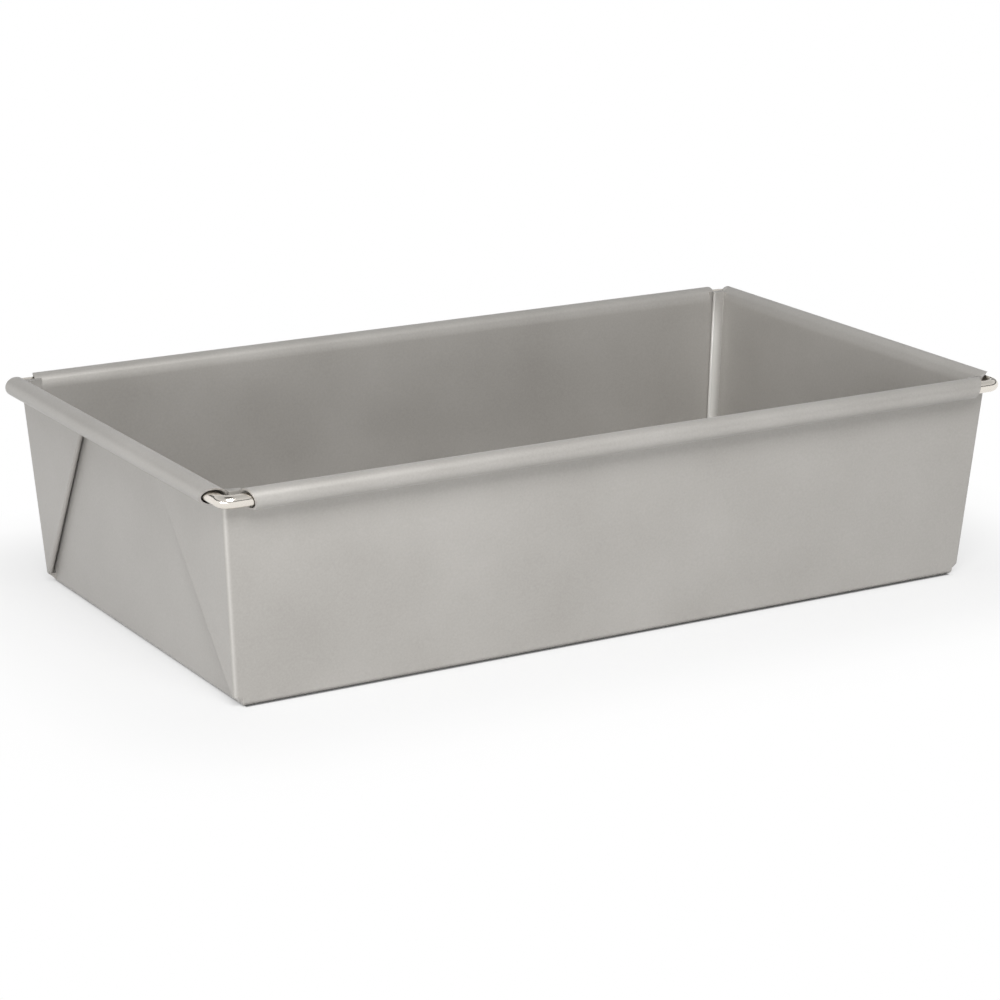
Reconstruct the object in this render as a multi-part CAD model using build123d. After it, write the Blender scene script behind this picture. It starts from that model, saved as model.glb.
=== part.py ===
from build123d import *
import math
import os

# Folded loaf tin: one sheet of steel folded up into a tray whose corners are never cut.
# The spare sheet of each corner is a doubled ear, laid flat on the outside of the end wall,
# and the tops of the four walls are rolled outward round one steel wire.
# Millimetres and degrees, +X along the tin, +Z up, origin under the middle of the base.

# Size of the tin
base_length = 259.6  # outside of one end wall to the other, at the table
base_width = 140.4  # outside of one long wall to the other, at the table
rim_height = 68.4  # table to the top of the rolled rim
end_flare = 4.6  # how far an end wall leans out from upright
side_flare = 4.05  # how far a long wall leans out from upright

# Sheet and its bends
sheet = 0.6
bottom_bend = 1.0  # inside radius where the base turns up into a wall
corner_bend = 0.9  # inside radius where a long wall turns round into its ears

# Ears, the doubled corner gussets
ear_angle = 37.6  # from the corner edge to the crease, which both start at the base's corner
ear_start_flat = 0.1  # flat stretch of an ear's inner layer where the folds start
crease_gap = 0.3  # between the two layers of an ear
ear_foot_gap = 0.9  # between the ear and the end wall, low down
ear_top_gap = 0.5  # the same, under the rim
ear_bend = 0.5  # middle radius where an ear's inner layer comes out of the corner
heel_rise = 0.6  # the pinched foot of an ear stops this far above the table
heel_inset = 0.5  # and there lies this far inside the base's outer corner

# Fins, the end walls' folds that stand up inside the four corners
fin_reach = 3.9  # how far a fin reaches into the tin
fin_gap = 0.15  # between the two layers of a fin
fin_bend = 0.5  # middle radius where an end wall turns into its fin
fin_angle = 85  # from the end wall to the face of the fin
corner_slit = 0.3  # between the fin and the long wall behind it
corner_rise = 2.2  # fins and long walls end this far above the rim's axis at the corners

# Rim
wire_diameter = 4.0
wire_bend = 3.0  # centre-line radius of the wire at the four corners
wire_joint = 0.3  # gap where the two ends of the wire meet, inside the back curl
wire_slack = 0.28  # the wire lies this far out from the middle of the curls
curl_clearance = 0.7  # mean gap between the wire and the curl that holds it
wall_clearance = 0.2  # between the wire and the ears below it
rim_bend = 8.0  # middle radius of the wider bend that leads a wall into its curl
rim_bend_angle = 20  # how far that wider bend turns
lip_gap = 0.5  # between the edge of a long wall's curl and the wire's inner side
end_lip_gap = 0.3  # between the edge of an end wall's curl and the ears
side_setback = 6.2  # a long curl starts this far from where the rim's axes cross
side_mitre_run = 2.6  # how much further back the curl's outer, lower side is cut
front_setback = 3.0  # the same for the end curls, at their front ends
front_mitre_run = 8.0
back_setback = 2.4  # and at their back ends, which are cut the other way
back_mitre_run = -1.8

# Worked out from the sizes above
half_sheet = sheet / 2
wire_radius = wire_diameter / 2
curl_inside = wire_radius + curl_clearance
curl_middle = curl_inside + half_sheet
curl_outside = curl_inside + sheet
rim_axis_z = rim_height - curl_outside
fold_top_z = rim_axis_z - wire_radius - wall_clearance
corner_top_z = rim_axis_z + corner_rise
fin_depth = corner_slit + 2 * sheet + fin_gap + fin_bend

# Below this height an ear has no room for its bends, and the folds are pinched shut
ear_start_width = corner_slit + 2 * sheet + (sheet + crease_gap) / 2 + ear_bend + ear_start_flat
fold_start_z = ear_start_width / math.tan(math.radians(ear_angle))

OUT_AND_DOWN = math.radians(-45)


def end_face_x(z):
    """Outer face of an end wall at a height."""
    return base_length / 2 + z * math.tan(math.radians(end_flare))


def side_face_y(z):
    """Outer face of a long wall at a height."""
    return base_width / 2 + z * math.tan(math.radians(side_flare))


def wall_thickness(flare):
    """Thickness of a leaning sheet, measured level."""
    return sheet / math.cos(math.radians(flare))


def ear_gap(z):
    """Gap between an ear and its end wall: it closes from the foot to the rim."""
    share = (z - fold_start_z) / (fold_top_z - fold_start_z)
    return ear_foot_gap + share * (ear_top_gap - ear_foot_gap)


def ear_width(z):
    """Corner edge to crease at a height."""
    return z * math.tan(math.radians(ear_angle))


def ear_face_x(z):
    """Outer face of the ears at a height."""
    return end_face_x(z) + ear_gap(z) + crease_gap + 2 * sheet


def sheet_face(start, moves, face):
    """Edges of one face of a bent sheet, drawn from above.

    The sheet's middle starts along +Y. Each move is a straight length, a turn in degrees,
    positive to the left, and the turn's radius. face is the offset to the right.
    """
    here, heading = Vector(*start), Vector(0, 1)
    edges = []
    for length, turn, radius in moves:
        right = heading.cross(Vector(0, 0, 1))
        bend_start = here + heading * length
        edges.append(Line(here + right * face, bend_start + right * face))
        to_middle = right * math.copysign(radius, turn)
        centre = bend_start - to_middle
        to_face = to_middle + right * face
        half_way, all_way = (to_face.rotate(Axis.Z, turn * share) for share in (0.5, 1))
        edges.append(ThreePointArc(centre + to_face, centre + half_way, centre + all_way))
        here = centre + to_middle.rotate(Axis.Z, turn)
        heading = heading.rotate(Axis.Z, turn)
    return edges


def folded_outline(z, side):
    """One face of the folded sheet at a height, as a closed ring of edges.

    side is 1 for the outer face and -1 for the inner face. The sheet runs along the end wall,
    turns into the fin, comes back out along the long wall, runs to the ear's crease, turns
    again and comes round the corner into the long wall.
    """
    end_x = end_face_x(z) - wall_thickness(end_flare) / 2
    side_y = side_face_y(z) - wall_thickness(side_flare) / 2
    under_x = end_x + sheet + ear_gap(z)
    outer_x = under_x + sheet + crease_gap
    slit_y = side_y - sheet - corner_slit
    nose = (sheet + fin_gap) / 2
    crease = (sheet + crease_gap) / 2
    corner = corner_bend + half_sheet
    slope = math.radians(fin_angle)
    fin_length = (fin_reach - (nose + fin_bend) * (1 - math.cos(slope))) / math.sin(slope)
    fin_rise = fin_length * math.cos(slope) + (nose + fin_bend) * math.sin(slope)
    crease_y = side_y + sheet - ear_width(z) + crease
    moves = [
        (slit_y - nose - fin_rise, fin_angle, fin_bend),
        (fin_length, -90 - fin_angle, nose),
        (under_x - ear_bend - (end_x - fin_reach + nose), -90, ear_bend),
        (slit_y - ear_bend - crease_y, 180, crease),
        (side_y - corner - crease_y, 90, corner),
    ]
    first, *bends = sheet_face((end_x, 0), moves, side * half_sheet)
    wall_end, wall_start = first @ 1, bends[-1] @ 1
    end_line = Line((wall_end.X, -wall_end.Y), wall_end)
    side_line = Line(wall_start, (-wall_start.X, wall_start.Y))
    left = [edge.mirror(Plane.YZ) for edge in bends]
    edges = [end_line, *bends, side_line, *reversed(left)]
    edges += [end_line.mirror(Plane.YZ), *(edge.mirror(Plane.XZ) for edge in left)]
    edges += [side_line.mirror(Plane.XZ), *(edge.mirror(Plane.XZ) for edge in reversed(bends))]
    return [Pos(0, 0, z) * edge for edge in edges]


def at_corners(x_span, y_span, z_span):
    """Four equal boxes, one at each corner of the tin."""
    spans = (x_span, y_span, z_span)
    size = [high - low for low, high in spans]
    middle = [(high + low) / 2 for low, high in spans]
    one = Pos(*middle) * Box(*size)
    pair = [one, mirror(one, Plane.YZ)]
    return pair + [mirror(box, Plane.XZ) for box in pair]


def ruled_block(low, high):
    """A solid between two level rings of edges: flat wherever the edges are straight."""
    sides = []
    for below, above in zip(low, high):
        if below.geom_type == GeomType.LINE:
            corners = (below @ 0, below @ 1, above @ 1, above @ 0)
            sides.append(Face(Wire.make_polygon(corners, close=True)))
        else:
            sides.append(Face.make_surface_from_curves(below, above))
    return Solid(Shell([Face(Wire(low)), Face(Wire(high)), *sides]))


def folded_walls():
    """The four walls, ears and fins. Only the inside corners go on above the ears' top edge."""
    outer, inner = (
        ruled_block(folded_outline(fold_start_z, side), folded_outline(corner_top_z, side))
        for side in (1, -1)
    )
    slab_height = corner_top_z - fold_top_z
    slab_size = (2 * rim_half_length, 2 * rim_half_width, 2 * slab_height)
    slab = Pos(0, 0, fold_top_z + slab_height) * Box(*slab_size)
    end_x, side_y = end_face_x(corner_top_z), side_face_y(corner_top_z)
    kept = at_corners(
        (end_face_x(fold_top_z) - 2 * sheet - fin_reach, end_x),
        (side_face_y(fold_top_z) - sheet - fin_depth, side_y),
        (fold_top_z, corner_top_z),
    )
    return (outer - inner) - (slab - kept)


def tray_block(floor_z, inset, radius):
    """A flared block with rounded bottom edges, up to where the folded walls begin."""
    sections = []
    for z in (floor_z, fold_start_z):
        length = 2 * (end_face_x(z) - inset / math.cos(math.radians(end_flare)))
        width = 2 * (side_face_y(z) - inset / math.cos(math.radians(side_flare)))
        sections.append(Plane.XY.offset(z) * Rectangle(length, width))
    block = loft(sections, ruled=True)
    bottom_edges = block.edges().filter_by_position(Axis.Z, floor_z, floor_z)
    return fillet(bottom_edges, radius)


def base_tray():
    """The base and the bends that turn it up into the walls."""
    outer = tray_block(0, 0, bottom_bend + sheet)
    inner = tray_block(sheet, sheet, bottom_bend)
    return outer - inner


def heel_outline(z, inner, outer, radius):
    """Level section of a heel: a rectangle from inner to outer with one rounded corner."""
    (inner_x, inner_y), (outer_x, outer_y) = inner, outer
    slant = radius * (1 - math.cos(math.pi / 4))
    edges = [
        Line((inner_x, outer_y), (inner_x, inner_y)),
        Line((inner_x, inner_y), (outer_x, inner_y)),
        Line((outer_x, inner_y), (outer_x, outer_y - radius)),
        ThreePointArc(
            (outer_x, outer_y - radius),
            (outer_x - slant, outer_y - slant),
            (outer_x - radius, outer_y),
        ),
        Line((outer_x - radius, outer_y), (inner_x, outer_y)),
    ]
    return Plane.XY.offset(z) * make_face(edges)


def ear_heels():
    """The pinched foot of each ear and fin, drawn in from the folds to the base's corner."""
    z = fold_start_z
    corner_radius = corner_bend + sheet
    foot = heel_outline(
        z,
        (end_face_x(z) - sheet - fin_reach, side_face_y(z) - ear_width(z)),
        (ear_face_x(z), side_face_y(z)),
        corner_radius,
    )
    base_corner = Vector(end_face_x(0) - heel_inset, side_face_y(0) - heel_inset)
    tip = heel_outline(
        heel_rise,
        (base_corner.X - corner_radius, base_corner.Y - corner_radius),
        (base_corner.X, base_corner.Y),
        bottom_bend,
    )
    heel = loft([foot, tip], ruled=True)
    pair = [heel, mirror(heel, Plane.YZ)]
    return pair + [mirror(one, Plane.XZ) for one in pair]


def wall_normal(flare, turn=0):
    """Level-to-upright section: the way a wall faces, inward, turned on by an angle."""
    angle = math.radians(180 - flare - turn)
    return Vector(math.cos(angle), math.sin(angle))


def rim_bend_centre(flare):
    """From the rim's axis to the middle of the wider bend below it, in a wall's section."""
    return wall_normal(flare, rim_bend_angle) * (curl_middle - rim_bend)


def rim_axis(face_at, flare):
    """Distance from the middle of the tin to the rim's axis, for a wall that leans by flare."""
    bend_start = rim_bend_centre(flare) + wall_normal(flare) * (rim_bend - half_sheet)
    return face_at(rim_axis_z + bend_start.Y) - bend_start.X


rim_half_length = rim_axis(end_face_x, end_flare)
rim_half_width = rim_axis(side_face_y, side_flare)


def curl_profile(face_at, flare, axis_x, lip_x):
    """Section of a wall's top and its curl: x outward, y up. The curl ends at lip_x."""
    start = 180 - flare
    curl_start = start - rim_bend_angle
    lip_angle = math.degrees(math.acos((lip_x - axis_x) / curl_outside))
    sweep = -(curl_start + lip_angle)
    axis = Vector(axis_x, rim_axis_z)
    bend_centre = axis + rim_bend_centre(flare)
    inward = wall_normal(flare)
    lip = Vector(math.cos(math.radians(lip_angle)), -math.sin(math.radians(lip_angle)))
    foot = face_at(fold_top_z)
    back = foot - wall_thickness(flare)
    near, far = rim_bend - half_sheet, rim_bend + half_sheet
    outline = [
        Line((foot, fold_top_z), bend_centre + inward * near),
        CenterArc(bend_centre, near, start, -rim_bend_angle),
        CenterArc(axis, curl_inside, curl_start, sweep),
        Line(axis + lip * curl_inside, axis + lip * curl_outside),
        CenterArc(axis, curl_outside, curl_start, sweep),
        CenterArc(bend_centre, far, start, -rim_bend_angle),
        Line(bend_centre + inward * far, (back, fold_top_z)),
        Line((back, fold_top_z), (foot, fold_top_z)),
    ]
    return make_face(outline)


def mitred_curl(profile, outward, axis_x, corner, cuts):
    """A curl along one wall, cut back at a slant at both ends to bare the wire's elbows.

    corner is the distance along the wall from its middle to where the rim's axes cross.
    cuts gives a setback and a run for the end at +along and for the end at -along.
    """
    along = outward.cross(Vector(0, 0, 1))
    up_and_in = Vector(0, 0, 1) * -math.sin(OUT_AND_DOWN) - outward * math.cos(OUT_AND_DOWN)
    section = Plane(origin=(0, 0, 0), x_dir=outward, z_dir=along) * profile
    curl = extrude(section, amount=corner, both=True)
    nearest = outward * axis_x + Vector(0, 0, rim_axis_z) + up_and_in * curl_outside
    for way, (setback, run) in zip((1, -1), cuts):
        origin = nearest + along * way * (corner - setback)
        shift = run / (2 * curl_outside)
        cut = Plane(origin=origin, z_dir=along * way - up_and_in * shift)
        curl = split(curl, bisect_by=cut, keep=Keep.BOTTOM)
    return curl


def rolled_rim():
    """The four curls, each with the strip of wall that carries it."""
    side_lip = rim_half_width - curl_inside + lip_gap
    end_lip = ear_face_x(rim_axis_z - curl_outside) + end_lip_gap
    side_section = curl_profile(side_face_y, side_flare, rim_half_width, side_lip)
    end_section = curl_profile(end_face_x, end_flare, rim_half_length, end_lip)
    side_cuts = 2 * [(side_setback, side_mitre_run)]
    end_cuts = [(front_setback, front_mitre_run), (back_setback, back_mitre_run)]
    long_wall_gaps = at_corners(
        (end_face_x(0), rim_half_length - curl_inside),
        (side_face_y(fold_top_z) - sheet - corner_slit, rim_half_width),
        (fold_top_z, corner_top_z + corner_slit),
    )
    curls = []
    for sign in (1, -1):
        long_curl = mitred_curl(
            side_section, Vector(0, sign, 0), rim_half_width, rim_half_length, side_cuts
        )
        end_curl = mitred_curl(
            end_section, Vector(sign, 0, 0), rim_half_length, rim_half_width, end_cuts[::sign]
        )
        curls += [long_curl, end_curl - long_wall_gaps]
    return curls


def pan_body():
    """Base, walls, ears and rolled rim: all one sheet of steel."""
    body = base_tray().fuse(folded_walls(), *ear_heels(), *rolled_rim())
    body.label = "pan_body"
    return body


def rim_wire():
    """The wire inside the rim: one length bent to a rectangle, its ends meeting at the back."""
    half_joint = wire_joint / 2
    half_length = rim_half_length + wire_slack
    half_width = rim_half_width + wire_slack
    corners = [
        (half_joint, half_width),
        (half_length, half_width),
        (half_length, -half_width),
        (-half_length, -half_width),
        (-half_length, half_width),
        (-half_joint, half_width),
    ]
    path = Pos(0, 0, rim_axis_z) * FilletPolyline(*corners, radius=wire_bend)
    section = Plane(origin=path @ 0, z_dir=path % 0) * Circle(wire_radius)
    wire = sweep(section, path=path)
    wire.label = "rim_wire"
    return wire


os.makedirs("parts", exist_ok=True)
for piece in (pan_body(), rim_wire()):
    export_step(piece, f"parts/{piece.label}.step")
    print(piece.label, len(piece.solids()), "solid", round(piece.volume), "mm3")
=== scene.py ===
import math

import bpy
from mathutils import Matrix, Vector


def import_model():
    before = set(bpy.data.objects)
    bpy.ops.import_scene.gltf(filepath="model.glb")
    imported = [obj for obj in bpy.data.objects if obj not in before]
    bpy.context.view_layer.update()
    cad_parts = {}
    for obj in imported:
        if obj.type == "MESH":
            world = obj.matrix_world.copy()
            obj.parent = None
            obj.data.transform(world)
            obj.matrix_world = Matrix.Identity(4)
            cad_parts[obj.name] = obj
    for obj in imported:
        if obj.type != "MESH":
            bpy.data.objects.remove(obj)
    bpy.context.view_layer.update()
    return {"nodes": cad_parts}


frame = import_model()

MM = 0.001

# Camera, fitted to the edges of the tin in the photograph; its angles are in degrees
CAMERA_AZIMUTH = -30.52
CAMERA_ELEVATION = 16.21
CAMERA_ROLL = 0.23
CAMERA_DISTANCE = 1137.6 * MM
CAMERA_TARGET = Vector((44.7 * MM, 79.1 * MM, 0))
LENS_MM = 115.0
SENSOR_MM = 36.0
CLIP = (0.05, 50.0)

# Coating
COAT_DARK = (0.36, 0.345, 0.323)
COAT_LIGHT = (0.435, 0.42, 0.398)
COAT_STOPS = (0.3, 0.7)  # noise at which the darkest and the lightest tone are reached
COAT_METALLIC = 0.45
COAT_ROUGHNESS = (0.38, 0.5)
COAT_BUMP = (0.3, 0.02 * MM)  # strength and depth
SHEEN_WEIGHT = 0.3
SHEEN_ROUGHNESS = 0.35
GRAIN = (1500.0, 3.0)  # scale and detail of the noise
CLOUDS = (26.0, 4.0)
GRAIN_SHARE = 0.4  # the rest of the tone comes from the clouds

# Painted highlights: where the sheet was folded its colour is lightened to stand for highlights,
# and its roughness is lowered as if polished
PAINTED_HIGHLIGHT_COLOUR = (0.86, 0.85, 0.82)
BURNISHED_ROUGHNESS = 0.3
FIN_HIGHLIGHT = 0.85  # the most painted highlight on a fin
BEND_HIGHLIGHT = 0.16  # the most painted highlight on an outer corner bend

# Bare wire
WIRE_COLOUR = (0.8, 0.755, 0.69)
WIRE_ROUGHNESS = (0.13, 0.19)
WIRE_BUMP = (0.15, 0.01 * MM)
WIRE_DUST = (900.0, 3.0)

# Places on the tin, from the CAD, for the painted highlights and for the floor's tones
SHEET = 0.6 * MM
BASE_HALF = (129.8 * MM, 70.2 * MM)  # half the size of the base
END_LEAN = math.tan(math.radians(4.6))
SIDE_LEAN = math.tan(math.radians(4.05))
EAR_FOOT = 132.2 * MM  # outer face of the ears, level with the table
EAR_LEAN = 0.0737
FIN_REACH = 3.9 * MM  # from the end wall to the fin's tip
CORNER_RADIUS = 1.5 * MM
FIN_ALONG = (0.15 * MM, FIN_REACH + 0.3 * MM)  # a fin's reach in from the end wall
FIN_ACROSS = (0.8 * MM, 2.7 * MM)  # a fin's reach in from the side wall's outer face
FIN_FADE = (0.2 * MM, 0.7 * FIN_REACH)  # the painted highlight grows over this, from the end wall
RIM_FADE = (67 * MM, 52 * MM)  # heights between which the painted highlight grows, down from the rim
BEND_FADE = (0.0, 0.3 * CORNER_RADIUS)

# Floor
FLOOR_SIZE = 12.0
FLOOR_TONE = 0.62
FOOT_HALF = (128.6 * MM, 70.2 * MM)  # the base, short at its ends, where the painted contact shadow is left off
PAINTED_CONTACT_SHADOW = 0.2  # painted shadow: the floor's colour right under the edge of the base
# the painted contact shadow fades out over this distance from the base
CONTACT_SHADOW_WIDTH = (0.0, 0.5 * MM)
FLOOR_REACH = 250 * MM  # the last distance that the ramp of the floor's glow covers
FLOOR_GLOW = [  # share of plain white in what the camera sees, by distance from the base
    (0, 0.0), (0.8 * MM, 0.45), (2 * MM, 0.6), (5 * MM, 0.68), (30 * MM, 0.78), (60 * MM, 0.96),
    (80 * MM, 1.0),
]

# Lamps: place, width, height and power in watts
KEY = ((-0.64, -0.36, 0.1), 0.4, 0.16, 1.9)
HIGH = ((-0.25, -0.6, 0.7), 0.5, 0.4, 9.1)

# Surroundings
STUDIO_BANDS = [  # brightness by elevation in degrees
    (0, 1.0), (12, 1.0), (14, 0.05), (23, 0.05), (25, 0.85), (42, 0.65), (72, 0.55), (75, 0.05),
]
FILL = 0.38  # brightness of the light they give, as a share of what is seen of them
BRIGHT_SIDE = (-0.95, -0.3, 0.0)
SIDE_CONTRAST = 0.5
BACKDROP_SIDE = (0.51, 0.86, 0.0)  # away from the camera
BACKDROP_BOOST = 3.0
BACKDROP_FALLOFF = 2.0

WHITE = (1, 1, 1, 1)


class Tree:
    """An emptied node tree, with short ways to add and wire its nodes."""

    def __init__(self, tree):
        self.tree = tree
        tree.nodes.clear()

    def add(self, kind, inputs=(), **settings):
        """Add a node, apply its settings, and fill or link its inputs."""
        node = self.tree.nodes.new(kind)
        for key, value in settings.items():
            setattr(node, key, value)
        for key, value in dict(inputs).items():
            if isinstance(value, bpy.types.NodeSocket):
                self.tree.links.new(value, node.inputs[key])
            else:
                node.inputs[key].default_value = value
        return node

    def place(self, output="Object"):
        return self.add("ShaderNodeTexCoord").outputs[output]

    def calc(self, operation, *values, **settings):
        node = self.add("ShaderNodeMath", enumerate(values), operation=operation, **settings)
        return node.outputs[0]

    def vector(self, operation, *values, output="Vector"):
        node = self.add("ShaderNodeVectorMath", enumerate(values), operation=operation)
        return node.outputs[output]

    def remap(self, value, source=(0.0, 1.0), target=(0.0, 1.0), **settings):
        """Carry a value from one range to another, and keep it inside."""
        ends = zip(("From Min", "From Max", "To Min", "To Max"), (*source, *target))
        node = self.add("ShaderNodeMapRange", {"Value": value, **dict(ends)}, **settings)
        return node.outputs["Result"]

    def noise(self, place, look):
        scale, detail = look
        inputs = {"Vector": place, "Scale": scale, "Detail": detail}
        return self.add("ShaderNodeTexNoise", inputs).outputs["Fac"]

    def bump(self, height, look):
        strength, depth = look
        inputs = {"Strength": strength, "Distance": depth, "Height": height}
        return self.add("ShaderNodeBump", inputs).outputs["Normal"]

    def mix(self, factor, first, second, **settings):
        node = self.add("ShaderNodeMix", {"Factor": factor, "A": first, "B": second}, **settings)
        return node.outputs["Result"]

    def mix_shaders(self, factor, first, second):
        node = self.add("ShaderNodeMixShader", {0: factor, 1: first, 2: second})
        return node.outputs["Shader"]

    def ramp(self, value, stops):
        """A colour ramp through stops of a position and a colour."""
        node = self.add("ShaderNodeValToRGB", {"Fac": value})
        elements = node.color_ramp.elements
        while len(elements) < len(stops):
            elements.new(0.5)
        for element, (position, colour) in zip(elements, stops):
            element.position = position
            element.color = (*colour, 1)
        return node.outputs["Color"]

    def shows_background(self):
        """1 for rays that show the background: from the camera, a mirror or a glass."""
        path = self.add("ShaderNodeLightPath").outputs
        direct = self.calc("ADD", path["Is Camera Ray"], path["Is Glossy Ray"])
        return self.calc("ADD", direct, path["Is Transmission Ray"], use_clamp=True)


def new_material(name):
    """A material and its empty node tree."""
    material = bpy.data.materials.new(name)
    material.use_nodes = True
    return material, Tree(material.node_tree)


def grey(tone):
    return (tone, tone, tone)


def highlight_and_polish_mask(tree, place):
    """Where the sheet's colour is lightened as a painted highlight and its roughness lowered: on
    the fins' faces and the outer corner bends.

    The tin's four quarters are alike, so the place is folded into one of them.
    """

    def between(value, low, high):
        above = tree.calc("GREATER_THAN", value, low)
        return tree.calc("MULTIPLY", above, tree.calc("LESS_THAN", value, high))

    axes = tree.add("ShaderNodeSeparateXYZ", {0: tree.vector("ABSOLUTE", place)}).outputs
    end_inside = tree.calc("MULTIPLY_ADD", axes["Z"], END_LEAN, BASE_HALF[0] - SHEET)
    ear_outside = tree.calc("MULTIPLY_ADD", axes["Z"], EAR_LEAN, EAR_FOOT)
    side_outside = tree.calc("MULTIPLY_ADD", axes["Z"], SIDE_LEAN, BASE_HALF[1])
    from_end = tree.calc("SUBTRACT", end_inside, axes["X"])
    from_ear = tree.calc("SUBTRACT", ear_outside, axes["X"])
    from_side = tree.calc("SUBTRACT", side_outside, axes["Y"])

    fin_zone = tree.calc(
        "MULTIPLY", between(from_end, *FIN_ALONG), between(from_side, *FIN_ACROSS)
    )
    fade = tree.remap(from_end, FIN_FADE, (0.0, FIN_HIGHLIGHT))
    below_rim = tree.remap(axes["Z"], RIM_FADE)
    fin = tree.calc("MULTIPLY", tree.calc("MULTIPLY", fin_zone, fade), below_rim)

    bend = tree.remap(
        tree.calc("MINIMUM", from_ear, from_side),
        BEND_FADE,
        (0.0, BEND_HIGHLIGHT),
        interpolation_type="SMOOTHSTEP",
    )
    bend_zone = between(tree.calc("MAXIMUM", from_ear, from_side), 0.0, CORNER_RADIUS)
    return tree.calc("MULTIPLY_ADD", bend, bend_zone, fin)


def coated_steel():
    """Satin warm grey release coating on sheet steel: fine grain, faint clouds, and painted
    highlights on the folds.
    """
    material, tree = new_material("coated_steel")
    place = tree.place()
    grain = tree.noise(place, GRAIN)
    clouds = tree.noise(place, CLOUDS)
    tone = tree.ramp(
        tree.mix(GRAIN_SHARE, clouds, grain), list(zip(COAT_STOPS, (COAT_DARK, COAT_LIGHT)))
    )
    # painted highlights: the base colour is lightened on the fins and the outer corner bends,
    # where the roughness is also lower
    highlight_and_polish = highlight_and_polish_mask(tree, place)
    satin = tree.remap(clouds, target=COAT_ROUGHNESS)
    shader = tree.add(
        "ShaderNodeBsdfPrincipled",
        {
            "Base Color": tree.mix(highlight_and_polish, tone, (*PAINTED_HIGHLIGHT_COLOUR, 1), data_type="RGBA"),
            "Metallic": COAT_METALLIC,
            "Roughness": tree.mix(highlight_and_polish, satin, BURNISHED_ROUGHNESS),
            "Sheen Weight": SHEEN_WEIGHT,
            "Sheen Roughness": SHEEN_ROUGHNESS,
            "Normal": tree.bump(grain, COAT_BUMP),
        },
    )
    tree.add("ShaderNodeOutputMaterial", {"Surface": shader.outputs["BSDF"]})
    return material


def bright_wire():
    """Nickel-bright wire: nearly a mirror, faintly uneven."""
    material, tree = new_material("bright_wire")
    dust = tree.noise(tree.place(), WIRE_DUST)
    shader = tree.add(
        "ShaderNodeBsdfPrincipled",
        {
            "Base Color": (*WIRE_COLOUR, 1),
            "Metallic": 1.0,
            "Roughness": tree.remap(dust, target=WIRE_ROUGHNESS),
            "Normal": tree.bump(dust, WIRE_BUMP),
        },
    )
    tree.add("ShaderNodeOutputMaterial", {"Surface": shader.outputs["BSDF"]})
    return material


def dress(node_name, material):
    """Give a CAD node a finish."""
    piece = frame["nodes"][node_name]
    piece.data.materials.clear()
    piece.data.materials.append(material)


def floor():
    """Pale floor: white in what the camera sees away from the tin, its soft shadow kept, and a
    painted dark line of shadow under the base's edge.
    """
    material, tree = new_material("pale_floor")
    folded = tree.vector("ABSOLUTE", tree.place())
    outside = tree.vector("MAXIMUM", tree.vector("SUBTRACT", folded, (*FOOT_HALF, 0)), (0, 0, 0))
    away = tree.vector("LENGTH", outside, output="Value")
    # painted contact shadow: the floor's colour is darker right at the base's edge
    tone = tree.remap(away, CONTACT_SHADOW_WIDTH, (PAINTED_CONTACT_SHADOW, FLOOR_TONE))
    lit = tree.add("ShaderNodeBsdfDiffuse", {"Color": tone}).outputs["BSDF"]
    glow = tree.add("ShaderNodeEmission", {"Color": WHITE, "Strength": 1.0}).outputs["Emission"]
    whiten = tree.ramp(
        tree.remap(away, (0.0, FLOOR_REACH)),
        [(far / FLOOR_REACH, grey(share)) for far, share in FLOOR_GLOW],
    )
    seen = tree.mix_shaders(whiten, lit, glow)
    surface = tree.mix_shaders(tree.shows_background(), lit, seen)
    tree.add("ShaderNodeOutputMaterial", {"Surface": surface})
    bpy.ops.mesh.primitive_plane_add(size=FLOOR_SIZE, location=(0, 0, 0))
    plane = bpy.context.object
    plane.name = "floor"
    plane.data.materials.append(material)


def soft_box(name, place, width, height, power):
    """A rectangular soft box that faces the tin."""
    data = bpy.data.lights.new(name, "AREA")
    data.shape = "RECTANGLE"
    data.size, data.size_y = width, height
    data.energy = power
    lamp = bpy.data.objects.new(name, data)
    lamp.location = place
    lamp.rotation_euler = (-Vector(place)).to_track_quat("-Z", "Y").to_euler()
    bpy.context.collection.objects.link(lamp)


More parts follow.
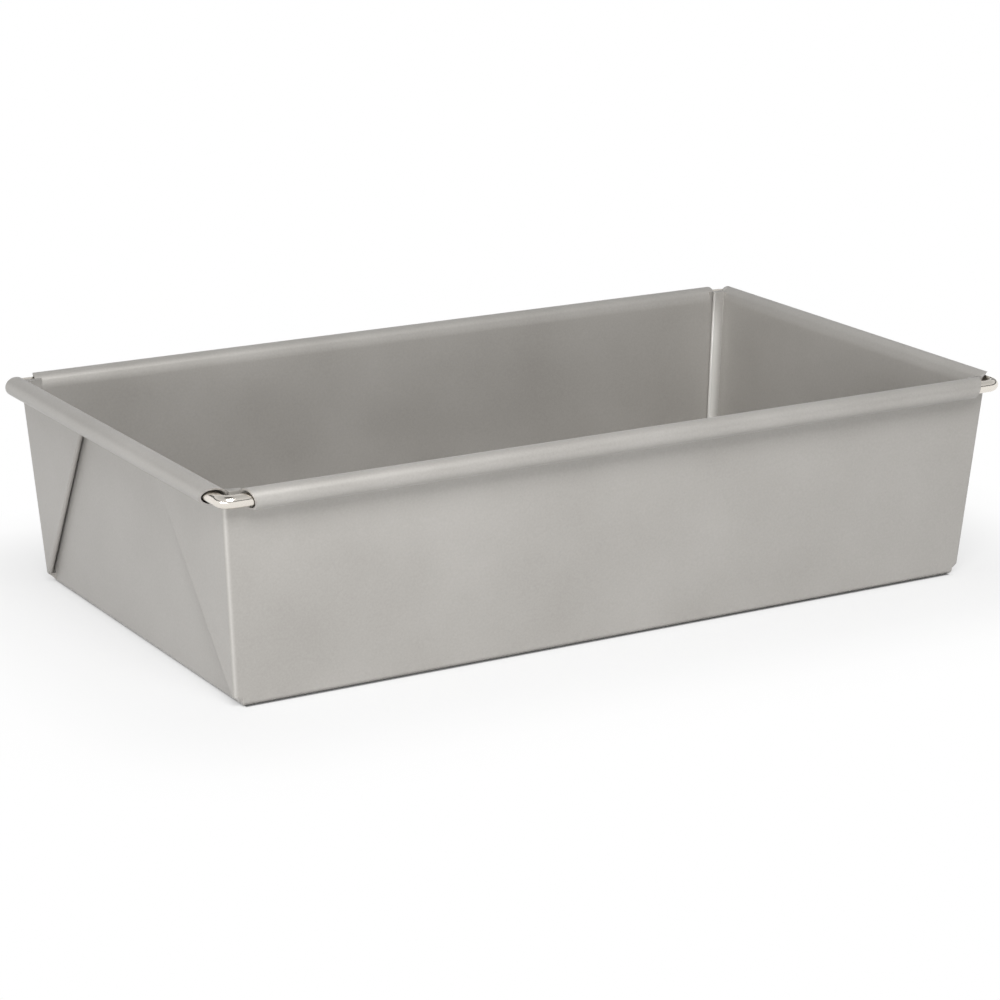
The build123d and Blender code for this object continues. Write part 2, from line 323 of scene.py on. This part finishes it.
def world():
    """Studio surroundings, which light the tin more from the left and from the backdrop.

    The dark bands are the gaps between the walls and the ceiling's panels. They show as
    streaks in the wire.
    """
    made = bpy.data.worlds.new("studio")
    bpy.context.scene.world = made
    made.use_nodes = True
    tree = Tree(made.node_tree)
    way = tree.place("Generated")
    height = tree.add("ShaderNodeSeparateXYZ", {0: way}).outputs["Z"]
    bands = tree.ramp(
        height,
        [(math.sin(math.radians(elevation)), grey(tone)) for elevation, tone in STUDIO_BANDS],
    )
    side = tree.vector("DOT_PRODUCT", way, BRIGHT_SIDE, output="Value")
    tilt = tree.calc("MULTIPLY_ADD", side, SIDE_CONTRAST, 1.0)
    away = tree.vector("DOT_PRODUCT", way, BACKDROP_SIDE, output="Value")
    boost = tree.calc("POWER", tree.calc("MAXIMUM", away, 0.0), BACKDROP_FALLOFF)
    brightness = tree.calc("MULTIPLY_ADD", boost, BACKDROP_BOOST, tilt)
    strength = tree.calc("MULTIPLY", brightness, FILL)
    fill = tree.add("ShaderNodeBackground", {"Color": bands, "Strength": strength})
    seen = tree.add("ShaderNodeBackground", {"Color": bands, "Strength": 1.0})
    surface = tree.mix_shaders(
        tree.shows_background(), fill.outputs["Background"], seen.outputs["Background"]
    )
    tree.add("ShaderNodeOutputWorld", {"Surface": surface})


def camera():
    """The photograph's viewpoint."""
    azimuth, elevation = math.radians(CAMERA_AZIMUTH), math.radians(CAMERA_ELEVATION)
    back = Vector(
        (
            math.sin(azimuth) * math.cos(elevation),
            -math.cos(azimuth) * math.cos(elevation),
            math.sin(elevation),
        )
    )
    data = bpy.data.cameras.new("camera")
    data.sensor_width = SENSOR_MM
    data.lens = LENS_MM
    data.clip_start, data.clip_end = CLIP
    made = bpy.data.objects.new("camera", data)
    bpy.context.collection.objects.link(made)
    turn = (-back).to_track_quat("-Z", "Y").to_matrix().to_4x4()
    roll = Matrix.Rotation(math.radians(CAMERA_ROLL), 4, "Z")
    made.matrix_world = Matrix.Translation(CAMERA_TARGET + back * CAMERA_DISTANCE) @ turn @ roll
    bpy.context.scene.camera = made


dress("pan_body", coated_steel())
dress("rim_wire", bright_wire())
floor()
soft_box("key", *KEY)
soft_box("high", *HIGH)
world()
camera()
bpy.context.scene.view_settings.view_transform = "Standard"
